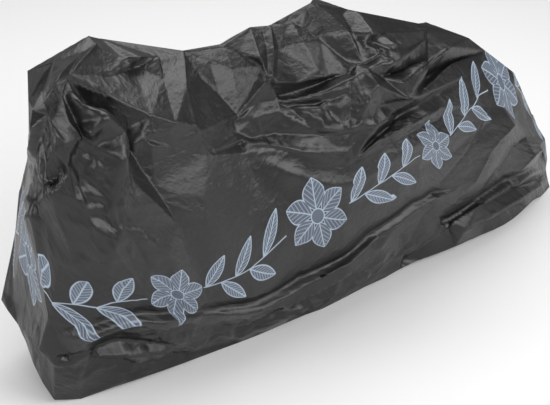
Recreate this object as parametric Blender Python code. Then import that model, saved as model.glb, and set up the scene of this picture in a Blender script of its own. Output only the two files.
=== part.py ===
"""A bicycle cover: one bag of thin film, draped over a bicycle that isn't part of the model.

The cover is a shell, open underneath. It is built from cross-sections along the bicycle. Each one
runs from the hem of the near side, over the top seam, to the hem of the far side. The first and the
last are the end seams, where the two sides meet. Fold lines then press ridges, valleys and steps
into the shell. Metres, +Z up, +X to the rear of the bicycle, -Y to the near side. The origin is the
place under the film where the saddle carries it.

Two numbers name a place on one side of the cover: along, the metres of film from the front seam at
half height, and down, from 0 at the top seam to 1 at the hem.
"""

from collections import namedtuple

import bpy
import numpy as np

SADDLE_HEIGHT = 0.935  # the origin above the ground
FILM_THICKNESS = 0.002
COLUMNS = 66  # faces from the front seam to the rear seam, on each side
ROWS = 21  # faces from the top seam to the hem
SHOULDER, BELLY = 0.22, 0.74  # how far down the sections' shoulder and belly points lie
FAR_SHOULDER_HEIGHT = 0.83  # height of the far shoulder, as a share of the top seam's
FOLD_PIECES = 24  # straight pieces in one fold line
FOLD_FADE = 0.25  # the share of a fold's length over which it fades out at each end
CREST_RADIUS = 0.010  # how round a ridge's crest or a valley's floor is
STEP_SHARPNESS = 0.4  # how soon a step turns over, in widths
STEP_UNDERCUT = 0.6  # how far a step draws in below its edge, as a share of its height
FILM_COLOUR = (0.045, 0.047, 0.052, 1.0)
FILM_ROUGHNESS = 0.38

# The near side's points have x, y and the height above the ground (z). The far side has only its
# own y values, and far_lean, how far its hem lies behind its top seam in x.
Section = namedtuple(
    "Section",
    "x_top y_top z_top x_shoulder y_shoulder z_shoulder x_belly y_belly z_belly x_hem y_hem z_hem"
    " far_shoulder far_belly far_hem far_lean",
)
SECTIONS = [Section(*row) for row in (
    (-0.87, 0.12, 0.89, -0.88, 0.12, 0.73, -0.92, 0.12, 0.51, -1.01, 0.12, 0.22, 0.12, 0.12, 0.12, -0.14),
    (-0.81, 0.11, 0.90, -0.90, -0.03, 0.90, -0.98, 0.00, 0.51, -1.01, 0.00, 0.18, 0.17, 0.18, 0.17, -0.13),
    (-0.73, 0.10, 0.92, -0.93, -0.17, 0.99, -1.01, -0.14, 0.55, -1.01, -0.09, 0.08, 0.19, 0.22, 0.20, -0.11),
    (-0.67, 0.08, 0.95, -0.86, -0.15, 0.95, -0.98, -0.22, 0.37, -0.97, -0.14, 0.00, 0.21, 0.24, 0.21, -0.10),
    (-0.61, 0.05, 0.93, -0.80, -0.15, 0.88, -0.86, -0.26, 0.34, -0.83, -0.17, 0.01, 0.22, 0.26, 0.21, -0.08),
    (-0.53, 0.02, 0.91, -0.71, -0.20, 0.79, -0.72, -0.28, 0.29, -0.67, -0.18, 0.01, 0.21, 0.27, 0.20, -0.06),
    (-0.45, 0.00, 0.89, -0.52, -0.17, 0.74, -0.55, -0.28, 0.23, -0.48, -0.17, 0.00, 0.19, 0.27, 0.19, -0.03),
    (-0.33, 0.00, 0.88, -0.35, -0.12, 0.72, -0.38, -0.27, 0.20, -0.31, -0.17, 0.00, 0.16, 0.27, 0.18, 0.02),
    (-0.23, 0.00, 0.91, -0.26, -0.10, 0.76, -0.24, -0.26, 0.20, -0.16, -0.16, 0.00, 0.14, 0.26, 0.17, 0.05),
    (-0.16, 0.00, 0.90, -0.15, -0.13, 0.76, -0.12, -0.25, 0.20, -0.05, -0.16, 0.00, 0.14, 0.25, 0.17, 0.06),
    (-0.09, 0.00, 0.91, -0.07, -0.15, 0.75, -0.02, -0.24, 0.21, 0.07, -0.15, 0.01, 0.15, 0.24, 0.16, 0.08),
    (0.00, 0.00, 0.94, 0.00, -0.17, 0.77, 0.09, -0.22, 0.22, 0.18, -0.14, 0.01, 0.17, 0.23, 0.16, 0.10),
    (0.11, 0.00, 0.89, 0.11, -0.17, 0.74, 0.22, -0.21, 0.24, 0.30, -0.13, 0.02, 0.17, 0.22, 0.15, 0.11),
    (0.22, 0.00, 0.86, 0.24, -0.16, 0.69, 0.31, -0.20, 0.25, 0.44, -0.13, 0.02, 0.16, 0.21, 0.15, 0.11),
    (0.40, 0.00, 0.78, 0.37, -0.14, 0.60, 0.46, -0.17, 0.23, 0.58, -0.12, 0.02, 0.14, 0.19, 0.14, 0.11),
    (0.52, 0.00, 0.74, 0.52, -0.12, 0.56, 0.61, -0.14, 0.23, 0.72, -0.10, 0.01, 0.13, 0.17, 0.13, 0.12),
    (0.69, 0.02, 0.63, 0.68, -0.09, 0.48, 0.75, -0.10, 0.21, 0.83, -0.07, 0.01, 0.11, 0.15, 0.12, 0.10),
    (0.81, 0.03, 0.54, 0.80, -0.05, 0.40, 0.87, -0.06, 0.18, 0.92, -0.04, 0.02, 0.10, 0.13, 0.11, 0.08),
    (0.95, 0.04, 0.36, 0.97, 0.00, 0.26, 0.99, 0.00, 0.12, 1.01, 0.00, 0.00, 0.08, 0.10, 0.08, 0.05),
    (1.03, 0.05, 0.20, 1.05, 0.04, 0.14, 1.06, 0.04, 0.06, 1.08, 0.04, 0.00, 0.04, 0.04, 0.04, 0.05),
)]

# A fold runs on a curve through three places, each given as along and down. A ridge has a height
# above zero and a valley one below. A step bulges just above its line and draws in below it.
Fold = namedtuple("Fold", "shape along_0 down_0 along_1 down_1 along_2 down_2 width height")
NEAR_FOLDS = [Fold(*row) for row in (
    ("line", 0.34, 0.21, 0.60, 0.24, 0.80, 0.44, 0.035, 0.040),  # front corner to mid side
    ("line", 0.72, 0.31, 0.84, 0.56, 0.90, 0.82, 0.040, 0.018),  # and on to the hem
    ("line", 0.46, 0.27, 0.56, 0.40, 0.58, 0.66, 0.045, -0.060),  # pocket under that ridge
    ("line", 0.40, 0.26, 0.38, 0.42, 0.36, 0.58, 0.025, 0.018),  # upright fold at the front
    ("line", 0.22, 0.26, 0.22, 0.42, 0.20, 0.58, 0.030, -0.014),  # front face's hollow
    ("line", 0.46, 0.20, 0.66, 0.16, 0.88, 0.21, 0.030, -0.028),  # behind the front corner
    ("line", 0.42, 0.17, 0.58, 0.10, 0.86, 0.03, 0.025, 0.016),  # top edge of the front
    ("line", 0.87, 0.01, 0.86, 0.12, 0.89, 0.26, 0.022, -0.014),  # upright crease by the dip
    ("line", 0.94, 0.06, 1.04, 0.12, 1.20, 0.18, 0.020, 0.010),  # from the dip to the pucker
    ("line", 1.14, 0.06, 1.20, 0.18, 1.32, 0.22, 0.030, -0.030),  # pucker below the saddle nose
    ("line", 1.20, 0.27, 1.42, 0.21, 1.64, 0.13, 0.028, 0.024),  # bright ridge under the saddle
    ("line", 1.20, 0.33, 1.42, 0.32, 1.64, 0.24, 0.030, -0.026),  # hollow below it
    ("line", 1.37, 0.01, 1.44, 0.10, 1.52, 0.20, 0.022, 0.014),  # edge of the saddle
    ("line", 1.55, 0.02, 1.60, 0.10, 1.66, 0.20, 0.022, -0.016),  # behind the saddle
    ("line", 2.18, 0.03, 1.90, 0.17, 1.57, 0.34, 0.028, 0.022),  # upper rear fan
    ("line", 1.96, 0.08, 1.80, 0.17, 1.60, 0.26, 0.022, -0.014),  # valley above it
    ("line", 2.04, 0.14, 1.72, 0.29, 1.40, 0.45, 0.026, 0.020),  # lower rear fan
    ("line", 1.04, 0.30, 1.40, 0.50, 1.86, 0.33, 0.035, -0.026),  # long valley under the fans
    ("line", 1.62, 0.58, 1.92, 0.46, 2.26, 0.36, 0.030, 0.012),  # low roll over the rear wheel
    ("step", 0.42, 0.84, 0.58, 0.77, 0.86, 0.77, 0.040, 0.028),  # tuck above the front hem
    ("step", 0.78, 0.77, 1.17, 0.77, 1.50, 0.73, 0.040, 0.028),  # and above the middle hem
    ("step", 1.38, 0.74, 1.62, 0.71, 1.86, 0.68, 0.035, 0.020),  # where it runs out
    ("line", 0.54, 0.88, 0.74, 0.90, 1.04, 0.83, 0.025, 0.012),  # roll in the skirt
    ("step", 1.60, 0.94, 1.95, 0.84, 2.50, 0.77, 0.035, 0.026),  # rear layer over the tucked one
)]
FAR_FOLDS = [Fold(*row) for row in (
    ("line", 0.30, 0.10, 0.52, 0.34, 0.62, 0.72, 0.035, 0.028),  # front corner to the hem
    ("line", 0.46, 0.14, 0.72, 0.30, 0.98, 0.46, 0.035, -0.026),  # hollow beside it
    ("line", 0.90, 0.02, 0.98, 0.24, 0.92, 0.52, 0.026, 0.016),  # upright crease by the dip
    ("line", 1.10, 0.04, 1.16, 0.22, 1.10, 0.44, 0.026, -0.016),  # beside the saddle's nose
    ("line", 1.44, 0.03, 1.34, 0.30, 1.18, 0.68, 0.035, 0.026),  # saddle to the middle hem
    ("line", 1.50, 0.04, 1.70, 0.28, 1.98, 0.54, 0.030, 0.022),  # saddle to the rear hem
    ("line", 1.40, 0.18, 1.54, 0.36, 1.60, 0.64, 0.030, -0.030),  # hollow between the two
    ("line", 1.90, 0.04, 2.06, 0.30, 2.30, 0.48, 0.026, 0.016),  # over the rear wheel
    ("step", 0.34, 0.88, 0.80, 0.80, 1.40, 0.82, 0.040, 0.026),  # tuck above the hem
    ("step", 1.30, 0.82, 1.80, 0.78, 2.36, 0.82, 0.035, 0.020),  # and above the rear hem
)]


def curve_through(knots, values, places):
    """Smooth curve through values at knots, read at places. The slopes are finite differences."""
    step = np.diff(knots).reshape((-1,) + (1,) * (values.ndim - 1))
    slope = np.diff(values, axis=0) / step
    tangent = np.concatenate([slope[:1], slope])
    tangent[1:-1] = (slope[:-1] * step[1:] + slope[1:] * step[:-1]) / (step[1:] + step[:-1])
    i = np.clip(np.searchsorted(knots, places, side="right") - 1, 0, len(knots) - 2)
    u = ((places - knots[i]) / (knots[i + 1] - knots[i])).reshape((-1,) + (1,) * (values.ndim - 1))
    start = (1 + 2 * u) * (1 - u) ** 2 * values[i] + u * (1 - u) ** 2 * step[i] * tangent[i]
    end = u**2 * (3 - 2 * u) * values[i + 1] - u**2 * (1 - u) * step[i] * tangent[i + 1]
    return start + end


def side_points(section, near):
    """Top seam, shoulder, belly and hem of one section's near or far side."""
    s = section
    points = np.array(
        [
            (s.x_top, s.y_top, s.z_top),
            (s.x_shoulder, s.y_shoulder, s.z_shoulder),
            (s.x_belly, s.y_belly, s.z_belly),
            (s.x_hem, s.y_hem, s.z_hem),
        ]
    )
    if not near:
        points[:, 0] = s.x_top + s.far_lean * np.array([0, SHOULDER, BELLY, 1]) ** 1.5
        points[1:, 1] = s.far_shoulder, s.far_belly, s.far_hem
        points[1, 2] = FAR_SHOULDER_HEIGHT * s.z_top
    return points


def sides_of_the_cover():
    """The section points of both sides as arrays, and where along the film each section stands."""
    near = np.array([side_points(s, True) for s in SECTIONS])
    far = np.array([side_points(s, False) for s in SECTIONS])
    far[[0, -1]] = near[[0, -1]]  # the end seams belong to both sides
    half_height = (near[:, 1] + near[:, 2]) / 2
    gaps = np.linalg.norm(np.diff(half_height, axis=0), axis=1)
    return near, far, np.concatenate([[0], np.cumsum(gaps)])


def draped(along, down):
    """Near and far grids of the smooth cover, without folds: [along, down, xyz]."""
    near, far, stations = sides_of_the_cover()
    knots = np.array([0, SHOULDER, BELLY, 1])
    across = np.concatenate([near[:, ::-1], far[:, 1:]], axis=1).swapaxes(0, 1)
    across_knots = np.concatenate([-knots[::-1], knots[1:]])
    near_rows = curve_through(across_knots, across, -down).swapaxes(0, 1)
    far_rows = curve_through(across_knots, across, down).swapaxes(0, 1)
    # One ring at each height: along the near side, round the rear seam and back on the far side,
    # with a section of overlap at the front seam, so that both ends turn smoothly.
    ring = np.concatenate([far_rows[1:2], near_rows, far_rows[-2::-1], near_rows[1:2]])
    length = stations[-1]
    ring_at = np.concatenate([-stations[1:2], stations, 2 * length - stations[-2::-1]])
    ring_at = np.append(ring_at, 2 * length + stations[1])
    return curve_through(ring_at, ring, along), curve_through(ring_at, ring, 2 * length - along)


def outward(grid, near):
    """Unit normals of a grid, pointing away from the inside of the cover."""
    normal = np.cross(np.gradient(grid, axis=0), np.gradient(grid, axis=1))
    normal /= np.maximum(np.linalg.norm(normal, axis=2, keepdims=True), 1e-9)
    return normal if near else -normal


def fold_line(fold, near):
    """Places (along, down) and points on the smooth cover down one fold line, start to end."""
    q = np.linspace(0, 1, FOLD_PIECES + 1)
    weights = (2 * (q - 0.5) * (q - 1), 4 * q * (1 - q), 2 * q * (q - 0.5))
    along = sum(w * a for w, a in zip(weights, (fold.along_0, fold.along_1, fold.along_2)))
    down = sum(w * d for w, d in zip(weights, (fold.down_0, fold.down_1, fold.down_2)))
    grid = draped(along, down)[0 if near else 1]
    n = np.arange(len(q))
    return down, grid[n, n]


def fold_heights(fold, grid, down, near):
    """How far one fold lifts each point of a grid."""
    line_down, line = fold_line(fold, near)
    points = grid.reshape(-1, 1, 3)
    start, piece = line[:-1], np.diff(line, axis=0)
    share = ((points - start) * piece).sum(2) / (piece**2).sum(1)
    share = np.clip(share, 0, 1)
    gap = np.linalg.norm(points - start - share[..., None] * piece, axis=2)
    nearest = gap.argmin(axis=1)
    rows = np.arange(len(points))
    distance, share = gap[rows, nearest], share[rows, nearest]
    position = (nearest + share) / FOLD_PIECES
    end = np.clip(np.minimum(position, 1 - position) / FOLD_FADE, 0, 1)
    strength = end**2 * (3 - 2 * end) * fold.height
    if fold.shape == "line":
        away = np.hypot(distance, CREST_RADIUS) - CREST_RADIUS
        return (strength * np.exp(-away / fold.width)).reshape(grid.shape[:2])
    line_down = np.interp(position, np.linspace(0, 1, FOLD_PIECES + 1), line_down)
    above = np.sign(line_down - np.tile(down, len(grid))) * distance
    over = (1 + np.tanh(above / (STEP_SHARPNESS * fold.width))) / 2
    fade = np.exp(-((distance / (2 * fold.width)) ** 2))
    return (strength * fade * (over - STEP_UNDERCUT * (1 - over))).reshape(grid.shape[:2])


def folded(grid, down, folds, near):
    """A grid with its folds pressed in. The end seams and the top seam stay where they are."""
    lift = sum(fold_heights(fold, grid, down, near) for fold in folds)
    lift[[0, -1]] = 0
    lift[:, 0] = 0
    return grid + lift[..., None] * outward(grid, near)


def cover_mesh():
    """Vertices and faces of the cover's outer side: two grids that share the seams."""
    _, _, stations = sides_of_the_cover()
    along = np.linspace(0, stations[-1], COLUMNS + 1)
    down = np.linspace(0, 1, ROWS + 1)
    near, far = draped(along, down)
    near = folded(near, down, NEAR_FOLDS, True)
    far = folded(far, down, FAR_FOLDS, False)
    near_index = np.arange(near[..., 0].size).reshape(near.shape[:2])
    far_index = near_index.copy()
    inner = far[1:-1, 1:]
    far_index[1:-1, 1:] = near_index.size + np.arange(inner[..., 0].size).reshape(inner.shape[:2])
    points = np.concatenate([near.reshape(-1, 3), inner.reshape(-1, 3)])
    points[:, 2] -= SADDLE_HEIGHT
    faces = []
    for index, turn in ((near_index, 1), (far_index, -1)):
        corners = (index[:-1, :-1], index[:-1, 1:], index[1:, 1:], index[1:, :-1])
        faces.extend(np.stack(corners, axis=-1).reshape(-1, 4)[:, ::turn].tolist())
    return points.tolist(), faces


def film_material():
    material = bpy.data.materials.new("film")
    material.use_nodes = True
    shader = material.node_tree.nodes["Principled BSDF"]
    shader.inputs["Base Color"].default_value = FILM_COLOUR
    shader.inputs["Roughness"].default_value = FILM_ROUGHNESS
    shader.inputs["Metallic"].default_value = 0.0
    return material


def build_cover():
    """The shell: the outer side, thickened inwards."""
    mesh = bpy.data.meshes.new("cover_film")
    points, faces = cover_mesh()
    mesh.from_pydata(points, [], faces)
    mesh.materials.append(film_material())
    mesh.shade_smooth()
    cover = bpy.data.objects.new("cover_film", mesh)
    bpy.context.collection.objects.link(cover)
    thicken = cover.modifiers.new("thickness", "SOLIDIFY")
    thicken.thickness = FILM_THICKNESS
    thicken.offset = -1
    thicken.use_even_offset = True
    thicken.use_rim = True
    return cover


for old in list(bpy.data.objects):
    bpy.data.objects.remove(old, do_unlink=True)
build_cover()
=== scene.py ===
"""The looks of a bicycle cover: a bag of thin charcoal film, draped over a bicycle that isn't shown.

The film repeats the smooth cover and the main folds of the part's source, on a fine grid. A net of
creases then makes it a surface of flat facets, random crumples and the tucks are pressed into it, and
a short relaxation lets loose film crumple. Metres, +Z up, +X to the rear of the bicycle, -Y to the
near side, with the origin where the saddle carries the film.

Two numbers name a place on one side of the cover: along, the metres of film from the front seam at
half height, and down, from 0 at the top seam to 1 at the hem.
"""

import math
from collections import namedtuple

import bpy
import numpy as np
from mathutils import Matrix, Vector
from mathutils.geometry import delaunay_2d_cdt


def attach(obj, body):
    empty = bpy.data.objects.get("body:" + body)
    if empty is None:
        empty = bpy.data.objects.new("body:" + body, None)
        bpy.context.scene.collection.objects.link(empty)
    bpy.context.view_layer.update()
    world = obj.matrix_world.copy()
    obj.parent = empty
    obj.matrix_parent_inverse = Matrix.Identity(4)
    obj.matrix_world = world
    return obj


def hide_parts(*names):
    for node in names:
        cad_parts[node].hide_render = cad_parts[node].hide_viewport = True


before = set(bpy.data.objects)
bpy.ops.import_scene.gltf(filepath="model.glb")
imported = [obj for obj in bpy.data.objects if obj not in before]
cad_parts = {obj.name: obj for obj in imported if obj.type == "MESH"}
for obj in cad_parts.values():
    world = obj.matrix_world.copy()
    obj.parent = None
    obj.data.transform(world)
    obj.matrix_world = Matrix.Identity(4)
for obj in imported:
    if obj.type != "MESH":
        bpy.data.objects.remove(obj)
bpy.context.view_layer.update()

SADDLE_HEIGHT = 0.935  # the origin above the ground
COLUMNS, ROWS = 464, 208  # faces of each side's fine grid, along and down
COARSE = 2  # the folds are worked out on every second point of the fine grid
SEAM_FADE = 6  # faces over which what is pressed in fades out at the seams

SHOULDER, BELLY = 0.22, 0.74  # how far down the sections' shoulder and belly points lie
FAR_SHOULDER_HEIGHT = 0.83  # height of the far shoulder, as a share of the top seam's
FOLD_PIECES = 24  # straight pieces in one fold line
FOLD_FADE = 0.25  # the share of a fold's length over which it fades out at each end
CREST_RADIUS = 0.010  # how round a ridge's crest or a valley's floor is

# The near side's points have x, y and the height above the ground (z). The far side has only its
# own y values, and far_lean, how far its hem lies behind its top seam in x. Most of the near side's
# x and z are a helper program's, from points that were read in the photo.
Section = namedtuple(
    "Section",
    "x_top y_top z_top x_shoulder y_shoulder z_shoulder x_belly y_belly z_belly x_hem y_hem z_hem"
    " far_shoulder far_belly far_hem far_lean",
)
SECTIONS = [Section(*row) for row in (
    (-0.87, 0.12, 0.89, -0.88, 0.12, 0.73, -0.92, 0.12, 0.51, -1.01, 0.12, 0.22, 0.12, 0.12, 0.12, -0.14),
    (-0.81, 0.11, 0.90, -0.90, -0.03, 0.90, -0.98, 0.00, 0.51, -1.01, 0.00, 0.18, 0.17, 0.18, 0.17, -0.13),
    (-0.73, 0.10, 0.92, -0.93, -0.17, 0.99, -1.01, -0.14, 0.55, -1.01, -0.09, 0.08, 0.19, 0.22, 0.20, -0.11),
    (-0.67, 0.08, 0.95, -0.86, -0.15, 0.95, -0.98, -0.22, 0.37, -0.97, -0.14, 0.00, 0.21, 0.24, 0.21, -0.10),
    (-0.61, 0.05, 0.93, -0.80, -0.15, 0.88, -0.86, -0.26, 0.34, -0.83, -0.17, 0.01, 0.22, 0.26, 0.21, -0.08),
    (-0.53, 0.02, 0.91, -0.71, -0.20, 0.79, -0.72, -0.28, 0.29, -0.67, -0.18, 0.01, 0.21, 0.27, 0.20, -0.06),
    (-0.45, 0.00, 0.89, -0.52, -0.17, 0.74, -0.55, -0.28, 0.23, -0.48, -0.17, 0.00, 0.19, 0.27, 0.19, -0.03),
    (-0.33, 0.00, 0.88, -0.35, -0.12, 0.72, -0.38, -0.27, 0.20, -0.31, -0.17, 0.00, 0.16, 0.27, 0.18, 0.02),
    (-0.23, 0.00, 0.91, -0.26, -0.10, 0.76, -0.24, -0.26, 0.20, -0.16, -0.16, 0.00, 0.14, 0.26, 0.17, 0.05),
    (-0.16, 0.00, 0.90, -0.15, -0.13, 0.76, -0.12, -0.25, 0.20, -0.05, -0.16, 0.00, 0.14, 0.25, 0.17, 0.06),
    (-0.09, 0.00, 0.91, -0.07, -0.15, 0.75, -0.02, -0.24, 0.21, 0.07, -0.15, 0.01, 0.15, 0.24, 0.16, 0.08),
    (0.00, 0.00, 0.94, 0.00, -0.17, 0.77, 0.09, -0.22, 0.22, 0.18, -0.14, 0.01, 0.17, 0.23, 0.16, 0.10),
    (0.11, 0.00, 0.89, 0.11, -0.17, 0.74, 0.22, -0.21, 0.24, 0.30, -0.13, 0.02, 0.17, 0.22, 0.15, 0.11),
    (0.22, 0.00, 0.86, 0.24, -0.16, 0.69, 0.31, -0.20, 0.25, 0.44, -0.13, 0.02, 0.16, 0.21, 0.15, 0.11),
    (0.40, 0.00, 0.78, 0.37, -0.14, 0.60, 0.46, -0.17, 0.23, 0.58, -0.12, 0.02, 0.14, 0.19, 0.14, 0.11),
    (0.52, 0.00, 0.74, 0.52, -0.12, 0.56, 0.61, -0.14, 0.23, 0.72, -0.10, 0.01, 0.13, 0.17, 0.13, 0.12),
    (0.69, 0.02, 0.63, 0.68, -0.09, 0.48, 0.75, -0.10, 0.21, 0.83, -0.07, 0.01, 0.11, 0.15, 0.12, 0.10),
    (0.81, 0.03, 0.54, 0.80, -0.05, 0.40, 0.87, -0.06, 0.18, 0.92, -0.04, 0.02, 0.10, 0.13, 0.11, 0.08),
    (0.95, 0.04, 0.36, 0.97, 0.00, 0.26, 0.99, 0.00, 0.12, 1.01, 0.00, 0.00, 0.08, 0.10, 0.08, 0.05),
    (1.03, 0.05, 0.20, 1.05, 0.04, 0.14, 1.06, 0.04, 0.06, 1.08, 0.04, 0.00, 0.04, 0.04, 0.04, 0.05),
)]

# A fold runs on a curve through three places, each given as along and down. A line is a soft ridge,
# with a height above zero, or a soft valley, with one below. A step is a tuck: above its line the
# upper film stands out and ends in a crisp edge, and below it the lower film lies in.
Fold = namedtuple("Fold", "shape along_0 down_0 along_1 down_1 along_2 down_2 width height")
NEAR_FOLDS = [Fold(*row) for row in (
    ("line", 0.34, 0.21, 0.60, 0.24, 0.80, 0.44, 0.035, 0.040),  # front corner to mid side
    ("line", 0.72, 0.31, 0.84, 0.56, 0.90, 0.82, 0.040, 0.018),  # and on to the hem
    ("line", 0.46, 0.27, 0.56, 0.40, 0.58, 0.66, 0.045, -0.060),  # pocket under that ridge
    ("line", 0.40, 0.26, 0.38, 0.42, 0.36, 0.58, 0.025, 0.018),  # upright fold at the front
    ("line", 0.22, 0.26, 0.22, 0.42, 0.20, 0.58, 0.030, -0.014),  # front face's hollow
    ("line", 0.46, 0.20, 0.66, 0.16, 0.88, 0.21, 0.030, -0.028),  # behind the front corner
    ("line", 0.42, 0.17, 0.58, 0.10, 0.86, 0.03, 0.025, 0.016),  # top edge of the front
    ("line", 0.87, 0.01, 0.86, 0.12, 0.89, 0.26, 0.022, -0.014),  # upright crease by the dip
    ("line", 0.94, 0.06, 1.04, 0.12, 1.20, 0.18, 0.020, 0.010),  # from the dip to the pucker
    ("line", 1.14, 0.06, 1.20, 0.18, 1.32, 0.22, 0.030, -0.030),  # pucker below the saddle nose
    ("line", 1.20, 0.27, 1.42, 0.21, 1.64, 0.13, 0.028, 0.024),  # bright ridge under the saddle
    ("line", 1.20, 0.33, 1.42, 0.32, 1.64, 0.24, 0.030, -0.026),  # hollow below it
    ("line", 1.37, 0.01, 1.44, 0.10, 1.52, 0.20, 0.022, 0.014),  # edge of the saddle
    ("line", 1.55, 0.02, 1.60, 0.10, 1.66, 0.20, 0.022, -0.016),  # behind the saddle
    ("line", 2.18, 0.03, 1.90, 0.17, 1.57, 0.34, 0.028, 0.022),  # upper rear fan
    ("line", 1.96, 0.08, 1.80, 0.17, 1.60, 0.26, 0.022, -0.014),  # valley above it
    ("line", 2.04, 0.14, 1.72, 0.29, 1.40, 0.45, 0.026, 0.020),  # lower rear fan
    ("line", 1.04, 0.30, 1.40, 0.50, 1.86, 0.33, 0.035, -0.026),  # long valley under the fans
    ("line", 1.62, 0.58, 1.92, 0.46, 2.26, 0.36, 0.030, 0.012),  # low roll over the rear wheel
    ("step", 0.42, 0.84, 0.58, 0.77, 0.86, 0.77, 0.040, 0.028),  # tuck above the front hem
    ("step", 0.78, 0.77, 1.17, 0.77, 1.50, 0.73, 0.040, 0.028),  # and above the middle hem
    ("step", 1.38, 0.74, 1.62, 0.71, 1.86, 0.68, 0.035, 0.020),  # where it runs out
    ("line", 0.54, 0.88, 0.74, 0.90, 1.04, 0.83, 0.025, 0.012),  # roll in the skirt
    ("step", 1.60, 0.94, 1.95, 0.84, 2.50, 0.77, 0.035, 0.026),  # rear layer over the tucked one
)]
FAR_FOLDS = [Fold(*row) for row in (
    ("line", 0.30, 0.10, 0.52, 0.34, 0.62, 0.72, 0.035, 0.028),  # front corner to the hem
    ("line", 0.46, 0.14, 0.72, 0.30, 0.98, 0.46, 0.035, -0.026),  # hollow beside it
    ("line", 0.90, 0.02, 0.98, 0.24, 0.92, 0.52, 0.026, 0.016),  # upright crease by the dip
    ("line", 1.10, 0.04, 1.16, 0.22, 1.10, 0.44, 0.026, -0.016),  # beside the saddle's nose
    ("line", 1.44, 0.03, 1.34, 0.30, 1.18, 0.68, 0.035, 0.026),  # saddle to the middle hem
    ("line", 1.50, 0.04, 1.70, 0.28, 1.98, 0.54, 0.030, 0.022),  # saddle to the rear hem
    ("line", 1.40, 0.18, 1.54, 0.36, 1.60, 0.64, 0.030, -0.030),  # hollow between the two
    ("line", 1.90, 0.04, 2.06, 0.30, 2.30, 0.48, 0.026, 0.016),  # over the rear wheel
    ("step", 0.34, 0.88, 0.80, 0.80, 1.40, 0.82, 0.040, 0.026),  # tuck above the hem
    ("step", 1.30, 0.82, 1.80, 0.78, 2.36, 0.82, 0.035, 0.020),  # and above the rear hem
)]
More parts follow.
